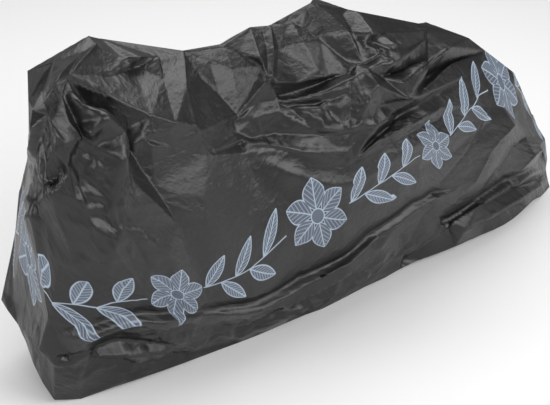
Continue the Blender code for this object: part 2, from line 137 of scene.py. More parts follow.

# Creases of the film's facets. Each runs straight from place 0 to place 1 to place 2, with a height
# at each, in millimetres times RELIEF: above zero the film stands out there, below zero it lies in.
# Most rows of the near side were read in the photo, as pixels, and a helper program fitted
# them to the film and scaled their heights. The far side's were chosen one by one, and their heights
# scaled once.
Crease = namedtuple(
    "Crease", "along_0 down_0 height_0 along_1 down_1 height_1 along_2 down_2 height_2"
)
NEAR_CREASES = [Crease(*row) for row in (
    # the front corner and the tension ridge that runs from it
    (0.33, 0.217, 10, 0.56, 0.223, 14, 0.63, 0.248, 12),
    (0.63, 0.248, 12, 0.69, 0.279, 10, 0.75, 0.356, 7),
    (0.75, 0.356, 7, 0.80, 0.466, 6, 0.87, 0.716, 0),
    (0.33, 0.217, 10, 0.25, 0.264, 8, 0.07, 0.208, 4),
    (0.39, 0.225, -3, 0.57, 0.187, -14, 0.70, 0.183, -13),
    (0.70, 0.183, -13, 0.78, 0.197, -12, 0.86, 0.216, -9),
    (0.43, 0.182, 6, 0.54, 0.144, 6, 0.62, 0.077, 4),
    (0.62, 0.077, 4, 0.71, 0.038, 3, 0.87, 0.000, 2),
    (0.47, 0.087, -3, 0.55, 0.082, -7, 0.61, 0.082, -8),
    (0.45, 0.062, 1, 0.36, 0.077, 6, 0.32, 0.165, 2),
    # pockets below the front corner
    (0.40, 0.284, 0, 0.43, 0.341, -5, 0.47, 0.361, 0),
    (0.42, 0.274, 10, 0.46, 0.322, 13, 0.48, 0.360, 8),
    (0.43, 0.271, -8, 0.46, 0.303, -21, 0.51, 0.313, -24),
    (0.48, 0.365, 5, 0.49, 0.341, -21, 0.51, 0.313, -24),
    (0.51, 0.313, -24, 0.54, 0.325, -29, 0.57, 0.369, -24),
    (0.57, 0.369, -24, 0.63, 0.359, -18, 0.67, 0.369, -5),
    (0.48, 0.360, 6, 0.50, 0.360, 2, 0.51, 0.365, 2),
    (0.51, 0.365, 2, 0.50, 0.385, 8, 0.47, 0.404, 6),
    (0.47, 0.404, 6, 0.45, 0.399, -8, 0.43, 0.389, -11),
    (0.40, 0.351, -2, 0.40, 0.399, -8, 0.40, 0.433, -10),
    (0.40, 0.433, -10, 0.38, 0.495, -11, 0.38, 0.539, -8),
    (0.29, 0.403, 10, 0.29, 0.490, 11, 0.29, 0.567, 10),
    (0.24, 0.385, -5, 0.28, 0.471, -10, 0.28, 0.534, -3),
    (0.18, 0.253, -2, 0.32, 0.351, -8, 0.38, 0.370, -2),
    (0.46, 0.413, 6, 0.49, 0.442, 10, 0.55, 0.466, 10),
    (0.55, 0.466, 10, 0.62, 0.491, 6, 0.66, 0.587, 3),
    (0.44, 0.438, -8, 0.47, 0.485, -11, 0.52, 0.529, -6),
    (0.52, 0.529, -6, 0.57, 0.568, -5, 0.63, 0.664, -2),
    (0.32, 0.659, 6, 0.38, 0.543, 10, 0.43, 0.462, 8),
    (0.36, 0.621, -5, 0.40, 0.529, -6, 0.44, 0.462, -6),
    (0.33, 0.684, -11, 0.34, 0.675, -13, 0.36, 0.664, 0),
    (0.38, 0.620, 3, 0.40, 0.635, 6, 0.43, 0.659, 2),
    (0.42, 0.563, -3, 0.45, 0.582, -6, 0.47, 0.630, -2),
    (0.50, 0.476, 3, 0.53, 0.510, 6, 0.56, 0.553, 2),
    # the smooth middle panel
    (0.68, 0.250, 0, 0.71, 0.226, -4, 0.77, 0.212, -7),
    (0.77, 0.212, -7, 0.85, 0.216, -8, 0.87, 0.226, -9),
    (0.69, 0.226, -2, 0.71, 0.236, -3, 0.73, 0.250, 0),
    (0.71, 0.230, 2, 0.80, 0.255, 4, 0.90, 0.298, 2),
    (0.87, 0.005, 1, 0.84, 0.125, -4, 0.86, 0.216, -8),
    (0.93, 0.033, 6, 0.93, 0.101, 7, 0.84, 0.125, 1),
    (0.93, 0.101, 7, 1.00, 0.154, 8, 1.05, 0.226, 3),
    (0.87, 0.000, 2, 0.98, 0.058, 2, 1.06, 0.101, -3),
    (1.06, 0.101, -3, 1.16, 0.178, -9, 1.19, 0.192, -14),
    (1.06, 0.000, 4, 1.10, 0.077, 4, 1.17, 0.154, 0),
    (1.17, 0.000, 2, 1.16, 0.130, -9, 1.19, 0.188, -14),
    (1.24, 0.000, 6, 1.22, 0.095, 4, 1.20, 0.149, 0),
    (1.28, 0.005, -2, 1.23, 0.115, -7, 1.20, 0.188, -14),
    (1.35, 0.029, 4, 1.27, 0.106, 6, 1.23, 0.168, 3),
    (1.19, 0.192, -14, 1.05, 0.226, 2, 0.87, 0.231, -9),
    (1.19, 0.192, -14, 1.13, 0.240, -4, 1.06, 0.240, -3),
    (1.20, 0.197, -14, 1.20, 0.226, -8, 1.21, 0.255, -3),
    # the brow under the saddle and the crumpled hollow below it
    (1.21, 0.197, -21, 1.29, 0.212, 3, 1.40, 0.206, 6),
    (1.22, 0.254, 11, 1.37, 0.220, 19, 1.50, 0.199, 18),
    (1.50, 0.199, 18, 1.57, 0.173, 14, 1.62, 0.158, 10),
    (1.22, 0.268, -8, 1.36, 0.250, -9, 1.48, 0.235, -8),
    (1.48, 0.235, -8, 1.54, 0.217, -10, 1.60, 0.188, -10),
    (1.21, 0.255, -5, 1.22, 0.270, 5, 1.24, 0.280, 2),
    (1.24, 0.280, 2, 1.28, 0.255, 8, 1.34, 0.250, -6),
    (1.24, 0.284, 2, 1.33, 0.275, 10, 1.43, 0.264, 3),
    (1.32, 0.293, -6, 1.37, 0.269, 3, 1.44, 0.255, -3),
    (1.31, 0.322, -6, 1.36, 0.293, 8, 1.40, 0.288, 2),
    (1.04, 0.240, 8, 1.04, 0.269, 8, 1.04, 0.298, 10),
    (1.04, 0.298, 10, 1.10, 0.317, 8, 1.16, 0.337, 10),
    (1.16, 0.337, 10, 1.30, 0.365, 10, 1.42, 0.370, 6),
    (1.05, 0.330, -4, 1.22, 0.398, -7, 1.38, 0.408, -6),
    (1.04, 0.240, 8, 1.12, 0.274, -3, 1.21, 0.293, -6),
    (1.31, 0.322, -5, 1.31, 0.346, -2, 1.31, 0.361, 8),
    (1.47, 0.208, 8, 1.44, 0.284, 10, 1.40, 0.364, 6),
    (1.51, 0.198, -5, 1.53, 0.273, -14, 1.65, 0.285, -18),
    (1.50, 0.240, -3, 1.48, 0.303, -4, 1.45, 0.356, -3),
    # facets over the saddle
    (1.37, 0.029, 4, 1.36, 0.101, -4, 1.37, 0.178, 0),
    (1.39, 0.047, 8, 1.43, 0.111, 12, 1.52, 0.173, 12),
    (1.43, 0.111, 12, 1.46, 0.115, 4, 1.54, 0.110, 0),
    (1.57, 0.020, 10, 1.56, 0.101, 12, 1.59, 0.163, 6),
    (1.62, 0.023, -2, 1.61, 0.111, -6, 1.63, 0.154, -10),
    (1.47, 0.005, 6, 1.42, 0.019, 4, 1.37, 0.029, 4),
    # the gap and the slit behind the front edge of the top
    (0.57, 0.082, -10, 0.61, 0.077, -34, 0.70, 0.044, -10),
    (0.41, 0.027, -12, 0.45, 0.091, -16, 0.47, 0.087, -6),
    # crumpled film behind the saddle
    (1.58, 0.130, 0, 1.70, 0.085, 11, 1.88, 0.025, 5),
    (1.62, 0.190, -16, 1.72, 0.140, -11, 1.82, 0.085, -13),
    (1.60, 0.220, 10, 1.72, 0.175, 16, 1.84, 0.130, 8),
    (1.64, 0.245, -12, 1.78, 0.165, -14, 1.95, 0.090, -10),
    # the fans that run to the rear
    (2.18, 0.020, 5, 1.87, 0.175, 17, 1.56, 0.330, 10),
    (1.98, 0.130, -3, 1.72, 0.265, -11, 1.50, 0.370, -11),
    (2.04, 0.155, 5, 1.66, 0.330, 14, 1.40, 0.445, 0),
    (1.04, 0.295, -2, 1.25, 0.400, -17, 1.40, 0.445, 0),
    (1.40, 0.445, 0, 1.59, 0.430, 11, 1.86, 0.300, 8),
    (1.48, 0.425, -12, 1.64, 0.385, -13, 1.84, 0.275, -7),
    (2.10, 0.300, 9, 1.95, 0.500, 14, 1.78, 0.640, 6),
    (2.22, 0.350, -9, 2.07, 0.530, -15, 1.93, 0.690, -9),
    (2.36, 0.400, 9, 2.22, 0.560, 15, 2.08, 0.720, 8),
    (2.46, 0.520, -6, 2.34, 0.640, -12, 2.22, 0.760, -7),
    # the skirt under the tuck
    (0.61, 0.769, -7, 0.70, 0.832, 10, 0.82, 0.829, 7),
    (0.82, 0.829, 7, 0.97, 0.808, 7, 1.05, 0.803, 3),
    (0.79, 0.775, -3, 0.70, 0.785, -12, 0.64, 0.785, -6),
    (0.46, 0.865, 0, 0.52, 0.861, 8, 0.57, 0.856, 14),
    (0.57, 0.856, 14, 0.65, 0.880, 8, 0.75, 0.909, -3),
    (0.75, 0.909, -3, 0.87, 0.913, 10, 1.00, 0.917, 10),
    (1.00, 0.917, 10, 1.14, 0.867, 10, 1.31, 0.825, 7),
    (0.52, 0.875, -14, 0.58, 0.875, -24, 0.70, 0.914, -14),
    (0.50, 0.886, 5, 0.56, 0.913, 8, 0.66, 0.961, 10),
    (0.66, 0.961, 10, 0.81, 0.976, 8, 0.95, 0.990, 5),
    (0.28, 0.946, -7, 0.40, 0.876, -27, 0.43, 0.866, -14),
    (0.43, 0.866, 10, 0.45, 0.870, 10, 0.46, 0.865, 0),
    (0.39, 0.907, -7, 0.43, 0.887, -17, 0.47, 0.880, -7),
    (0.08, 0.966, 7, 0.41, 0.808, -10, 0.51, 0.789, -14),
    (1.05, 0.803, 7, 1.18, 0.788, 10, 1.35, 0.755, 7),
    (1.13, 0.830, -6, 1.31, 0.795, -9, 1.46, 0.775, -6),
    (1.39, 0.744, 10, 1.46, 0.740, 14, 1.54, 0.745, 10),
    (1.54, 0.745, 10, 1.68, 0.779, 14, 1.74, 0.716, 7),
    (1.11, 0.899, -10, 1.28, 0.883, -17, 1.46, 0.863, -10),
    (1.73, 0.788, 7, 1.75, 0.884, 10, 1.66, 0.909, 3),
    (1.17, 0.919, 7, 1.35, 0.901, 10, 1.57, 0.909, 10),
    (1.57, 0.990, 14, 1.77, 0.888, 20, 1.92, 0.850, 17),
    (1.92, 0.850, 17, 2.19, 0.861, 14, 2.55, 0.817, 7),
    (1.80, 0.905, -8, 1.95, 0.900, -12, 2.20, 0.905, -10),
    (1.94, 0.952, 7, 2.06, 0.942, 8, 2.20, 0.962, 5),
)]
FAR_CREASES = [Crease(*row) for row in (
    (0.22, 0.120, 15, 0.48, 0.300, 24, 0.60, 0.560, 9),
    (0.40, 0.100, -12, 0.66, 0.220, -21, 0.90, 0.320, -12),
    (0.20, 0.300, -12, 0.34, 0.520, -18, 0.40, 0.740, -6),
    (0.90, 0.010, 3, 0.94, 0.200, 15, 0.88, 0.420, 12),
    (1.02, 0.020, 0, 1.08, 0.160, -15, 1.22, 0.300, -21),
    (1.22, 0.300, -21, 1.06, 0.420, 12, 0.92, 0.620, 9),
    (1.44, 0.010, 9, 1.36, 0.200, 18, 1.22, 0.300, -21),
    (1.22, 0.300, -21, 1.34, 0.420, 14, 1.50, 0.620, 8),
    (1.50, 0.060, -9, 1.64, 0.240, -18, 1.86, 0.400, -12),
    (1.62, 0.040, 6, 1.82, 0.200, 18, 2.10, 0.360, 9),
    (1.90, 0.030, -3, 2.08, 0.180, -14, 2.30, 0.300, -9),
    (1.70, 0.480, 9, 1.92, 0.560, 14, 2.20, 0.560, 8),
    (0.60, 0.640, -6, 0.90, 0.700, -12, 1.30, 0.680, -9),
    (0.40, 0.900, 9, 0.70, 0.880, -12, 1.00, 0.910, 9),
    (1.10, 0.890, -10, 1.40, 0.910, 10, 1.75, 0.880, -9),
    (1.90, 0.880, 8, 2.10, 0.900, -9, 2.32, 0.890, 6),
)]
NET_BORDER_STEP = 0.07  # how far apart the net's points stand along the hem and the end seams
TOP_CORNERS = (0, 0.45, 0.87, 1.06, 1.17, 1.28, 1.45, 1.6, 1.85, 2.1, 2.36, 2.61)  # of the top seam

# Patches with spare film, where it crumples: an oval around a place, with the share of spare film.
Patch = namedtuple("Patch", "along down reach_along reach_down slack")
NEAR_PATCHES = [Patch(*row) for row in (
    (0.56, 0.36, 0.14, 0.14, 0.060),  # the dark pocket
    (0.58, 0.52, 0.14, 0.14, 0.030),  # below it
    (0.30, 0.60, 0.14, 0.14, 0.025),  # the front, low down
    (1.30, 0.32, 0.18, 0.035, 0.020),  # below the brow
    (1.72, 0.15, 0.18, 0.08, 0.035),  # behind the saddle
    (1.55, 0.36, 0.25, 0.08, 0.025),  # under the rear fans
    (0.80, 0.90, 0.60, 0.09, 0.035),  # the skirt
    (1.40, 0.88, 0.35, 0.08, 0.020),  # and its rear part
)]
FAR_PATCHES = [Patch(*row) for row in (
    (0.55, 0.34, 0.20, 0.16, 0.050),  # below the front corner
    (1.24, 0.30, 0.20, 0.14, 0.050),  # below the saddle
    (1.80, 0.22, 0.24, 0.14, 0.040),  # behind it
    (0.90, 0.88, 0.70, 0.10, 0.035),  # the skirt
    (1.80, 0.88, 0.60, 0.10, 0.035),  # and its rear part
)]

# The film is relaxed on two grids, from coarse to fine. Each level has the step between its points
# on the fine grid, half that of the level before, its rounds of relaxing, and the share of the
# film's slack that it may use.
Level = namedtuple("Level", "step rounds slack")
LEVELS = [Level(2, 60, 0.6), Level(1, 30, 1.0)]
# Pairs of points that the film ties together: how many columns and rows apart, and how firmly.
Tie = namedtuple("Tie", "columns rows firmness")
TIES = [Tie(1, 0, 1), Tie(0, 1, 1), Tie(1, 1, 0.6), Tie(1, -1, 0.6), Tie(2, 0, 0.1), Tie(0, 2, 0.1)]
CREASE_HOLD, HEM_HOLD = 0.6, 0.5  # how firmly points keep to their target
TAUT_HOLD, LOOSE_HOLD = 0.3, 0.002  # and elsewhere, where the film is taut and where it is loose
CREASE_REACH = 0.012  # half the width of the film that a crease holds
HOLD_PIECES = 8  # straight pieces in a fold's held line
OVERSHOOT = 1.6  # how far a round moves each point, as a multiple of its mean pull
SAG = 0.00001  # metres that loose film falls in one round, on the finest grid
UNEVENNESS = 0.0005  # metres that the film is uneven by at the start, on the finest grid
CRUMPLE_SEED = 3

RELIEF = 1.55  # the heights of the creases are taken this many times
FLATNESS = 0.95  # how flat the facets are, from 0, as round as the folds alone, to 1, quite flat
SMOOTH_PANELS = [Patch(1.12, 0.52, 0.42, 0.17, 0), Patch(1.95, 0.5, 0.3, 0.15, 0)]  # of the near side
SMOOTHER = 0.7  # how much of their flatness the facets lose there
PINCH, PINCH_REACH = 0.0014, 0.009  # height and half width of the sharp lip on each crease
FILL_STEP, FILL_HEIGHT_MM = 0.16, 3  # spacing and typical height of the net's single points
FILL_JITTER = 0.3  # how far such a point strays from its place, in steps

# Small random facets all over: their size, in metres along the film and as a share of the way down
# it, how many times longer they are along it, how far they typically stand out or in, and how many
# times that is added where the film is loose.
Crumple = namedtuple("Crumple", "size stretch height_mm looser")
CRUMPLES = [Crumple(0.10, 1.6, 1.5, 1.5), Crumple(0.045, 1.3, 0.7, 6), Crumple(0.024, 1.2, 0.25, 6)]
TUCK_LIFT = 0.5  # how far the upper film stands out, as a share of how far the lower one lies in
TUCK_EDGE = 0.005  # how soon a tuck's edge turns over

# The print is a band of leafy stem and blossoms. Its line is a row of places on each side.
PRINT_BAND = (
    (0.00, 0.82), (0.35, 0.80), (0.66, 0.68), (1.08, 0.62), (1.49, 0.55), (1.95, 0.31), (2.61, 0.02)
)
PRINT_PIECES = 26  # straight pieces in the print's line
PRINT_HALF_HEIGHT = 0.15
INK_LINE, INK_EDGE = 0.0034, 0.0016  # width of the printed lines, and how soft their edges are
INK_LINE_COLOR, INK_FILL_COLOR = (0.40, 0.48, 0.58, 1), (0.16, 0.20, 0.27, 1)
STEM_WAVE, STEM_LENGTH = 0.035, 1.05  # the stem's swing to each side, and the length of one wave
LEAF_STEP, LEAF_LENGTH, LEAF_WIDTH, LEAF_ANGLE = 0.105, 0.115, 0.042, 48  # pairs of leaves
LEAF_START = 0.12  # how far into its step a leaf's stalk begins
LEAF_VEINS, PETAL_VEINS = 0.012, 0.016  # how far apart the veins are
VEIN_SLANT, VEIN_SPREAD, VEIN_INK = 1.2, 0.9, 0.55  # their lean, breadth and ink next to the rib's
BLOSSOM_STEP, BLOSSOM_RADIUS, PETALS = 0.525, 0.105, 6
BLOSSOM_OFFSET, BLOSSOM_TURN = 0.035, 0.4  # off the band's middle, and every second one's turn
PETAL_START, PETAL_WIDTH = 0.16, 0.72  # shares of the blossom's radius and of the petal's length
HEART, CLEARING = 0.2, 1.05  # radius of the heart, and of the room kept free, in blossom's radii

FILM_DARK, FILM_LIGHT = (0.005, 0.0048, 0.005, 1), (0.010, 0.0097, 0.010, 1)
LEAST_ROUGHNESS, CLOUD_ROUGHNESS, INK_ROUGHNESS = 0.33, 0.16, 0.12  # the last two come on top
COAT_WEIGHT, COAT_ROUGHNESS = 0.15, 0.22
Noise = namedtuple("Noise", "scale detail stretch")
CLOUDS, INK_WEAR = Noise(3, 3, 1), Noise(9, 3, 1)
CRINKLES, FINE_CRINKLES = Noise(14, 2, 1.6), Noise(45, 2, 1.3)
CRINKLE_HEIGHT, FINE_CRINKLE_HEIGHT = 0.0022, 0.0009
LINE_INK, FILL_INK, LEAST_INK = 0.85, 0.75, 0.3  # how strong the ink is, and where it's worn most

FLOOR_Z, FLOOR_REACH = -0.937, 30  # just under the lowest hem, and past the view each way
FLOOR_GREY, FLOOR_ROUGHNESS, FLOOR_GLOW = 0.72, 0.9, 0.1
WORLD_LIGHT = 0.15
Light = namedtuple("Light", "name place target size power")
LIGHTS = [Light(*row) for row in (
    ("back", (0.6, 1.6, 3.0), (0.2, 1.0, -0.9), (5.0, 3.2), 165),
    ("right", (2.9, -3.0, 1.2), (0, 0, -0.1), (2.4, 2.2), 50),
    ("front", (0.8, -3.5, 2.2), (0, 0, 0), (2.6, 1.8), 80),
    ("left", (-3.8, -0.2, 0.9), (-0.5, 0, -0.2), (2.2, 2.4), 62),
    ("camera side", (-2.0, -4.4, 1.9), (-0.2, 0, 0), (1.8, 1.8), 60),
)]
CAMERA_PLACE, CAMERA_AZIMUTH, CAMERA_ELEVATION = (-2.457, -3.303, 1.530), -35, 28
CAMERA_LENS, CAMERA_SENSOR = 98.18, 36  # in millimetres


def curve_through(knots, values, places):
    """Smooth curve through values at knots, read at places. The slopes are finite differences."""
    step = np.diff(knots).reshape((-1,) + (1,) * (values.ndim - 1))
    slope = np.diff(values, axis=0) / step
    tangent = np.concatenate([slope[:1], slope])
    tangent[1:-1] = (slope[:-1] * step[1:] + slope[1:] * step[:-1]) / (step[1:] + step[:-1])
    i = np.clip(np.searchsorted(knots, places, side="right") - 1, 0, len(knots) - 2)
    u = ((places - knots[i]) / (knots[i + 1] - knots[i])).reshape((-1,) + (1,) * (values.ndim - 1))
    start = (1 + 2 * u) * (1 - u) ** 2 * values[i] + u * (1 - u) ** 2 * step[i] * tangent[i]
    end = u**2 * (3 - 2 * u) * values[i + 1] - u**2 * (1 - u) * step[i] * tangent[i + 1]
    return start + end


def side_points(section, near):
    """Top seam, shoulder, belly and hem of one section's near or far side."""
    s = section
    points = np.array(s[:12]).reshape(4, 3)
    if not near:
        points[:, 0] = s.x_top + s.far_lean * np.array([0, SHOULDER, BELLY, 1]) ** 1.5
        points[1:, 1] = s.far_shoulder, s.far_belly, s.far_hem
        points[1, 2] = FAR_SHOULDER_HEIGHT * s.z_top
    return points


def sides_of_the_cover():
    """The section points of both sides as arrays, and where along the film each section stands."""
    near = np.array([side_points(s, True) for s in SECTIONS])
    far = np.array([side_points(s, False) for s in SECTIONS])
    far[[0, -1]] = near[[0, -1]]  # the end seams belong to both sides
    half_height = (near[:, 1] + near[:, 2]) / 2
    gaps = np.linalg.norm(np.diff(half_height, axis=0), axis=1)
    return near, far, np.concatenate([[0], np.cumsum(gaps)])


def draped(along, down):
    """Near and far grids of the smooth cover, without folds: [along, down, xyz]."""
    near, far, stations = sides_of_the_cover()
    knots = np.array([0, SHOULDER, BELLY, 1])
    across = np.concatenate([near[:, ::-1], far[:, 1:]], axis=1).swapaxes(0, 1)
    across_knots = np.concatenate([-knots[::-1], knots[1:]])
    near_rows = curve_through(across_knots, across, -down).swapaxes(0, 1)
    far_rows = curve_through(across_knots, across, down).swapaxes(0, 1)
    # One ring at each height: along the near side, round the rear seam and back on the far side,
    # with a section of overlap at the front seam, so that both ends turn smoothly.
    ring = np.concatenate([far_rows[1:2], near_rows, far_rows[-2::-1], near_rows[1:2]])
    length = stations[-1]
    ring_at = np.concatenate([-stations[1:2], stations, 2 * length - stations[-2::-1]])
    ring_at = np.append(ring_at, 2 * length + stations[1])
    return curve_through(ring_at, ring, along), curve_through(ring_at, ring, 2 * length - along)


def outward(grid, near):
    """Unit normals of a grid, pointing away from the inside of the cover."""
    normal = np.cross(np.gradient(grid, axis=0), np.gradient(grid, axis=1))
    normal /= np.maximum(np.linalg.norm(normal, axis=2, keepdims=True), 1e-9)
    return normal if near else -normal


def line_places(fold, pieces):
    """Places down one fold's line."""
    q = np.linspace(0, 1, pieces + 1)
    weights = (2 * (q - 0.5) * (q - 1), 4 * q * (1 - q), 2 * q * (q - 0.5))
    along = sum(w * a for w, a in zip(weights, (fold.along_0, fold.along_1, fold.along_2)))
    down = sum(w * d for w, d in zip(weights, (fold.down_0, fold.down_1, fold.down_2)))
    return np.stack([along, down], axis=1)


def fold_heights(fold, grid, near):
    """How far one soft fold lifts each point of a grid."""
    places = line_places(fold, FOLD_PIECES)
    n = np.arange(len(places))
    line = draped(places[:, 0], places[:, 1])[0 if near else 1][n, n]
    points = grid.reshape(-1, 1, 3)
    start, piece = line[:-1], np.diff(line, axis=0)
    share = ((points - start) * piece).sum(2) / (piece**2).sum(1)
    share = np.clip(share, 0, 1)
    gap = np.linalg.norm(points - start - share[..., None] * piece, axis=2)
    nearest = gap.argmin(axis=1)
    rows = np.arange(len(points))
    distance, share = gap[rows, nearest], share[rows, nearest]
    position = (nearest + share) / FOLD_PIECES
    end = np.clip(np.minimum(position, 1 - position) / FOLD_FADE, 0, 1)
    strength = end**2 * (3 - 2 * end) * fold.height
    away = np.hypot(distance, CREST_RADIUS) - CREST_RADIUS
    return (strength * np.exp(-away / fold.width)).reshape(grid.shape[:2])


def height_of_side(grid):
    """Metres of film from the top seam to the hem, for each column of a grid."""
    return np.linalg.norm(np.diff(grid, axis=1), axis=2).sum(axis=1)


def seam_mask(grid):
    """One on a side, falling to nothing at its end seams and its top seam."""
    columns, rows = grid.shape[:2]
    ends = np.minimum(np.arange(columns), np.arange(columns)[::-1]) / SEAM_FADE
    top = np.arange(rows) / SEAM_FADE
    return np.minimum(ends, 1)[:, None] * np.minimum(top, 1)[None, :]


def pressed(grid, heights, near):
    """A grid with its points moved out of its surface by heights. The seams stay where they are."""
    return grid + (heights * seam_mask(grid))[..., None] * outward(grid, near)


def refined(grid, factor):
    """A grid with factor times as many faces each way, on smooth curves through its points."""
    for axis in (0, 1):
        grid = grid.swapaxes(0, axis)
        knots = np.arange(len(grid))
        places = np.linspace(0, knots[-1], knots[-1] * factor + 1)
        grid = curve_through(knots, grid, places).swapaxes(0, axis)
    return grid


def halved(field):
    """A field on a grid with half the step, straight between its points."""
    for axis in (0, 1):
        field = field.swapaxes(0, axis)
        finer = np.empty((2 * len(field) - 1,) + field.shape[1:])
        finer[::2] = field
        finer[1::2] = (field[1:] + field[:-1]) / 2
        field = finer.swapaxes(0, axis)
    return field


def on_segment(point, start, end):
    """Distance from a point to a segment, and the share of the segment at its nearest place."""
    piece = end - start
    share = min(max((point - start).dot(piece) / max(piece.length_squared, 1e-12), 0), 1)
    return (point - start - share * piece).length, share


def faceted(places, values, edges, along, down):
    """Values on a grid of flat triangles between places, with edges that no triangle crosses."""
    points, _, triangles, origins, _, _ = delaunay_2d_cdt(places, edges, [], 0, 1e-5)
    at_points = []
    for point, origin in zip(points, origins):
        if origin:
            at_points.append(values[origin[0]])
            continue
        # Two creases cross here, and the nearest gives its value.
        near = ((on_segment(point, places[i], places[j]), (i, j)) for i, j in edges)
        (_, share), (i, j) = min(near)
        at_points.append(values[i] + share * (values[j] - values[i]))
    at_points = np.array(at_points)
    field = np.zeros((len(along), len(down), at_points.shape[1]))
    for triangle in triangles:
        a, b, c = (np.array(points[i]) for i in triangle)
        low, high = np.minimum(np.minimum(a, b), c) - 1e-6, np.maximum(np.maximum(a, b), c) + 1e-6
        i0, i1 = np.searchsorted(along, (low[0], high[0]))
        j0, j1 = np.searchsorted(down, (low[1], high[1]))
        area = (b[0] - a[0]) * (c[1] - a[1]) - (b[1] - a[1]) * (c[0] - a[0])
        if abs(area) < 1e-12 or i0 == i1 or j0 == j1:
            continue
        x, y = along[i0:i1, None] - a[0], down[None, j0:j1] - a[1]
        share_b = (x * (c[1] - a[1]) - y * (c[0] - a[0])) / area
        share_c = ((b[0] - a[0]) * y - (b[1] - a[1]) * x) / area
        share_a = 1 - share_b - share_c
        inside = (share_a > -1e-6) & (share_b > -1e-6) & (share_c > -1e-6)
        shares = np.stack([share_a, share_b, share_c], axis=-1)[inside]
        field[i0:i1, j0:j1][inside] = shares @ at_points[list(triangle)]
    return field


def border_places(length, step, top=None):
    """Places round the edge of a side, step apart, or at the given places along its top."""
    a, d = np.append(np.arange(0, length, step), length), np.append(np.arange(step, 1, step), 1)
    places = [(x, 0) for x in (a if top is None else top)] + [(x, 1) for x in a]
    return places + [(x, y) for y in d[:-1] for x in (0, length)]


def top_corners(length):
    """Where along the top seam its corners are, up to its very end."""
    return np.append(TOP_CORNERS[:-1], length)


def sampled(grid, length, places):
    """A grid's points at places on the film, straight between its own."""
    at = np.array(places) / (length, 1) * (grid.shape[0] - 1, grid.shape[1] - 1)
    low = np.clip(at.astype(int), 0, (grid.shape[0] - 2, grid.shape[1] - 2))
    (u, v), (i, j) = (at - low).T[..., None], low.T
    near_row = grid[i, j] * (1 - u) + grid[i + 1, j] * u
    return near_row * (1 - v) + (grid[i, j + 1] * (1 - u) + grid[i + 1, j + 1] * u) * v


def in_patch(patch, along, down):
    """How far inside a patch each point of a grid is, from 1 in its middle to 0 well outside."""
    a = (along[:, None] - patch.along) / patch.reach_along
    d = (down[None, :] - patch.down) / patch.reach_down
    return np.clip(1.5 - np.hypot(a, d), 0, 1)


def crease_places(crease):
    """The three places that a crease runs through."""
    c = crease
    return [(c.along_0, c.down_0), (c.along_1, c.down_1), (c.along_2, c.down_2)]


def net_of_creases(creases, chance, length):
    """Places, heights in metres and edges of the net: the creases, and single points between them."""
    places, heights, edges = [], [], []
    for c in creases:
        first = len(places)
        places += crease_places(c)
        heights += [c.height_0, c.height_1, c.height_2]
        edges += [(first, first + 1), (first + 1, first + 2)]
    lines = [(Vector(places[i]), Vector(places[j])) for i, j in edges]
    for a in np.arange(FILL_STEP / 2, length, FILL_STEP):
        for d in np.arange(FILL_STEP / 2, 1, FILL_STEP):
            place = Vector((a, d) + chance.uniform(-FILL_JITTER, FILL_JITTER, 2) * FILL_STEP)
            height = chance.normal(0, FILL_HEIGHT_MM)
            if min(on_segment(place, *line)[0] for line in lines) > FILL_STEP / 3:
                places.append(tuple(place))
                heights.append(height)
    border = border_places(length, NET_BORDER_STEP, top_corners(length))
    heights = np.concatenate([np.array(heights) * RELIEF / 1000, np.zeros(len(border))])
    return places + border, heights, edges


def crumple_heights(crumple, chance, along, down):
    """Heights of small random facets on a grid, in metres."""
    length = along[-1] / crumple.stretch
    count = int(length / crumple.size**2)
    border = border_places(length, crumple.size)
    places = [tuple(p) for p in chance.random((count, 2)) * (length, 1)] + border
    heights = np.append(chance.normal(0, crumple.height_mm / 1000, count), np.zeros(len(border)))
    spots = [Vector(p) for p in places]
    return faceted(spots, heights[:, None], [], along / crumple.stretch, down)[..., 0]


def from_line(line, along, down, height):
    """Metres on the film from each grid point to a line of places, and how far down the line."""
    a, d = np.meshgrid(along, down, indexing="ij")
    gap, position = np.full(a.shape, 9.0), np.zeros(a.shape)
    for n, ((a0, d0), (a1, d1)) in enumerate(zip(line[:-1], line[1:])):
        x, y = a - a0, (d - d0) * height[:, None]
        piece_x, piece_y = a1 - a0, (d1 - d0) * height[:, None]
        share = np.clip((x * piece_x + y * piece_y) / (piece_x**2 + piece_y**2), 0, 1)
        away = np.hypot(x - share * piece_x, y - share * piece_y)
        nearer = away < gap
        gap[nearer], position[nearer] = away[nearer], ((n + share) / (len(line) - 1))[nearer]
    return gap, position


def tuck_heights(fold, along, down, height):
    """A tuck: the upper film ends in a crisp edge down its line, over the lower film."""
    line = line_places(fold, HOLD_PIECES)
    gap, position = from_line(line, along, down, height)
    line_down = np.interp(position, np.linspace(0, 1, len(line)), line[:, 1])
    above = np.sign(line_down - down[None, :]) * gap
    end = np.clip(np.minimum(position, 1 - position) / FOLD_FADE, 0, 1)
    over = (1 + np.tanh(above / TUCK_EDGE)) / 2
    strength = fold.height * end * np.exp(-gap / fold.width)
    return strength * (TUCK_LIFT * over - (1 - over))


def pinch_heights(c, along, down, height):
    """The sharp lip of one crease: outwards on a ridge and inwards in a valley."""
    gap, _ = from_line(crease_places(c), along, down, height)
    return np.clip(1 - gap / PINCH_REACH, 0, 1) * PINCH * np.sign(c.height_0 + c.height_1 + c.height_2)


def crease_hold(creases, folds, along, down, height, reach, loose):
    """How firmly each point of a grid is held where it is: on the creases and folds, and the hem."""
    hold = TAUT_HOLD + (LOOSE_HOLD - TAUT_HOLD) * loose
    lines = [crease_places(crease) for crease in creases]
    lines += [line_places(fold, HOLD_PIECES) for fold in folds]
    for line in lines:
        gap = from_line(line, along, down, height)[0]
        hold = np.maximum(hold, CREASE_HOLD * np.clip(1.5 - gap / reach, 0, 1))
    hold[:, -1] = HEM_HOLD
    return hold


